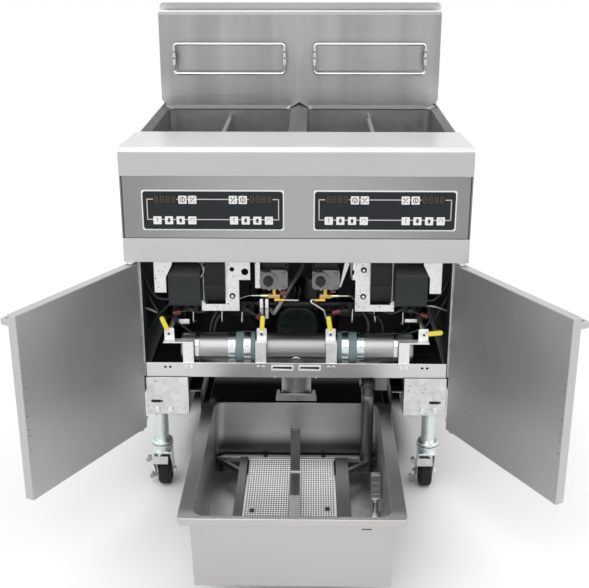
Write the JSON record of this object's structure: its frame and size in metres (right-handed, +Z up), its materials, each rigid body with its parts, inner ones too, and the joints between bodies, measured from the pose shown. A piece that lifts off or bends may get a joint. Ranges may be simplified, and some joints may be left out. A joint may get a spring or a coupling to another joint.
{
  "type": "gas deep fryer",
  "caption": "Floor-standing gas deep fryer on casters with split frypots, membrane controllers, hinged doors over valves and blowers, and a pull-out oil filter drawer",
  "frame": {"origin": "on the floor at mid width, under the front face of the control panel", "axes": "+X to the user's right, +Y from front to back, +Z up"},
  "size_m": [1.1944, 1.265, 1.17],
  "materials": {
    "stainless": "brushed stainless sheet",
    "pot_steel": "drawn stainless, darker inside",
    "galvanised": "galvanised sheet",
    "pipe_steel": "plain steel pipe",
    "zinc": "zinc plated",
    "chrome_wire": "bright wire",
    "cast_grey": "cast, as cast",
    "brass": "plain brass",
    "black_housing": "black paint",
    "grey_housing": "dark grey paint",
    "control_face": "printed membrane",
    "black_plastic": "moulded",
    "black_rubber": "moulded rubber",
    "tyre_black": "moulded tread",
    "yellow_vinyl": "dipped vinyl",
    "red_vinyl": "dipped vinyl"
  },
  "bodies": {
    "cabinet": {"cabinet_frame": "galvanised", "cabinet_panels": "stainless", "cord_gland": "black_plastic", "front_rail": "stainless", "rail_hardware": "zinc", "control_panel": "stainless", "lower_panel": "stainless", "front_cap": "stainless", "controllers": "control_face", "frypot_left": "pot_steel", "frypot_right": "pot_steel", "pot_joiner": "stainless", "flue_front": "stainless", "flue_back": "stainless", "basket_hangers": "chrome_wire", "blower_housings": "black_housing", "blower_motors": "grey_housing", "blower_brackets": "galvanised", "burners": "grey_housing", "gas_manifold": "black_housing", "gas_valves": "cast_grey", "pilot_lines": "brass", "drain_manifold": "pipe_steel", "drain_couplings": "black_rubber", "hose_clamps": "zinc", "drain_lines": "pipe_steel", "handle_brackets": "galvanised", "return_manifold": "pipe_steel", "pump_motor": "black_housing", "pan_rails": "stainless", "hinge_brackets": "stainless", "caster_legs": "zinc"},
    "door_left": {"door_left": "stainless", "door_liner_left": "stainless"},
    "door_right": {"door_right": "stainless", "door_liner_right": "stainless"},
    "drawer": {"filter_pan": "stainless", "pan_screen": "stainless", "hold_down_frame": "stainless", "suction_tube": "pipe_steel"},
    "gas_knob_left": {"gas_knob_left": "black_plastic"},
    "gas_knob_right": {"gas_knob_right": "black_plastic"},
    "drain_handle_1": {"drain_handle_1": "yellow_vinyl"},
    "return_handle_1": {"return_handle_1": "red_vinyl"},
    "fork_1": {"caster_fork_1": "zinc"},
    "wheel_1": {"wheel_1": "tyre_black"},
    "drain_handle_2": {"drain_handle_2": "yellow_vinyl"},
    "return_handle_2": {"return_handle_2": "red_vinyl"},
    "fork_2": {"caster_fork_2": "zinc"},
    "wheel_2": {"wheel_2": "tyre_black"},
    "drain_handle_3": {"drain_handle_3": "yellow_vinyl"},
    "return_handle_3": {"return_handle_3": "red_vinyl"},
    "fork_3": {"caster_fork_3": "zinc"},
    "wheel_3": {"wheel_3": "tyre_black"},
    "drain_handle_4": {"drain_handle_4": "yellow_vinyl"},
    "return_handle_4": {"return_handle_4": "red_vinyl"},
    "fork_4": {"caster_fork_4": "zinc"},
    "wheel_4": {"wheel_4": "tyre_black"},
    "brake_1": {"brake_1": "zinc"},
    "brake_2": {"brake_2": "zinc"}
  },
  "joints": [
    {"name": "door_left_hinge", "type": "hinge", "parent": "cabinet", "child": "door_left", "pos_m": [-0.383, -0.001, 0.423], "axis": [0, 0, -1], "range_deg": [-49, 31]},
    {"name": "door_right_hinge", "type": "hinge", "parent": "cabinet", "child": "door_right", "pos_m": [0.383, -0.001, 0.423], "axis": [0, 0, 1], "range_deg": [-49, 31]},
    {"name": "drawer_slide", "type": "slide", "parent": "cabinet", "child": "drawer", "axis": [0, 1, 0], "range_m": [0, 0.515]},
    {"name": "drain_handle_1_turn", "type": "hinge", "parent": "cabinet", "child": "drain_handle_1", "pos_m": [-0.306, 0.03, 0.45], "axis": [0, 1, 0], "range_deg": [-68, 22]},
    {"name": "drain_handle_2_turn", "type": "hinge", "parent": "cabinet", "child": "drain_handle_2", "pos_m": [-0.083, 0.03, 0.45], "axis": [0, 1, 0], "range_deg": [-90, 0]},
    {"name": "drain_handle_3_turn", "type": "hinge", "parent": "cabinet", "child": "drain_handle_3", "pos_m": [0.083, 0.03, 0.45], "axis": [0, 1, 0], "range_deg": [0, 90]},
    {"name": "drain_handle_4_turn", "type": "hinge", "parent": "cabinet", "child": "drain_handle_4", "pos_m": [0.306, 0.03, 0.45], "axis": [0, 1, 0], "range_deg": [-90, 0]},
    {"name": "return_handle_1_turn", "type": "hinge", "parent": "cabinet", "child": "return_handle_1", "pos_m": [-0.255, 0.07, 0.497], "axis": [0, 1, 0], "range_deg": [-76, 13]},
    {"name": "return_handle_2_turn", "type": "hinge", "parent": "cabinet", "child": "return_handle_2", "pos_m": [-0.119, 0.07, 0.497], "axis": [0, 1, 0], "range_deg": [-35, 54]},
    {"name": "return_handle_3_turn", "type": "hinge", "parent": "cabinet", "child": "return_handle_3", "pos_m": [0.12, 0.07, 0.497], "axis": [0, 1, 0], "range_deg": [-76, 13]},
    {"name": "return_handle_4_turn", "type": "hinge", "parent": "cabinet", "child": "return_handle_4", "pos_m": [0.274, 0.07, 0.497], "axis": [0, 1, 0], "range_deg": [-20, 69]},
    {"name": "gas_knob_left_turn", "type": "hinge", "parent": "cabinet", "child": "gas_knob_left", "pos_m": [-0.067, 0.06, 0.5722], "axis": [0, 1, 0], "range_deg": [0, 90]},
    {"name": "gas_knob_right_turn", "type": "hinge", "parent": "cabinet", "child": "gas_knob_right", "pos_m": [0.058, 0.06, 0.5722], "axis": [0, 1, 0], "range_deg": [0, 90]},
    {"name": "caster_1_swivel", "type": "hinge", "parent": "cabinet", "child": "fork_1", "pos_m": [-0.3415, 0.075, 0.134], "axis": [0, 0, 1], "continuous": true},
    {"name": "wheel_1_spin", "type": "hinge", "parent": "fork_1", "child": "wheel_1", "pos_m": [-0.3415, 0.104, 0.038], "axis": [1, 0, 0], "continuous": true},
    {"name": "brake_1_press", "type": "hinge", "parent": "fork_1", "child": "brake_1", "pos_m": [-0.3415, 0.104, 0.038], "axis": [1, 0, 0], "range_deg": [0, 12]},
    {"name": "caster_2_swivel", "type": "hinge", "parent": "cabinet", "child": "fork_2", "pos_m": [0.3325, 0.075, 0.134], "axis": [0, 0, 1], "continuous": true},
    {"name": "wheel_2_spin", "type": "hinge", "parent": "fork_2", "child": "wheel_2", "pos_m": [0.3325, 0.104, 0.038], "axis": [1, 0, 0], "continuous": true},
    {"name": "brake_2_press", "type": "hinge", "parent": "fork_2", "child": "brake_2", "pos_m": [0.3325, 0.104, 0.038], "axis": [1, 0, 0], "range_deg": [0, 12]},
    {"name": "caster_3_swivel", "type": "hinge", "parent": "cabinet", "child": "fork_3", "pos_m": [-0.3415, 0.64, 0.134], "axis": [0, 0, 1], "continuous": true},
    {"name": "wheel_3_spin", "type": "hinge", "parent": "fork_3", "child": "wheel_3", "pos_m": [-0.3415, 0.669, 0.038], "axis": [1, 0, 0], "continuous": true},
    {"name": "caster_4_swivel", "type": "hinge", "parent": "cabinet", "child": "fork_4", "pos_m": [0.3325, 0.64, 0.134], "axis": [0, 0, 1], "continuous": true},
    {"name": "wheel_4_spin", "type": "hinge", "parent": "fork_4", "child": "wheel_4", "pos_m": [0.3325, 0.669, 0.038], "axis": [1, 0, 0], "continuous": true}
  ]
}
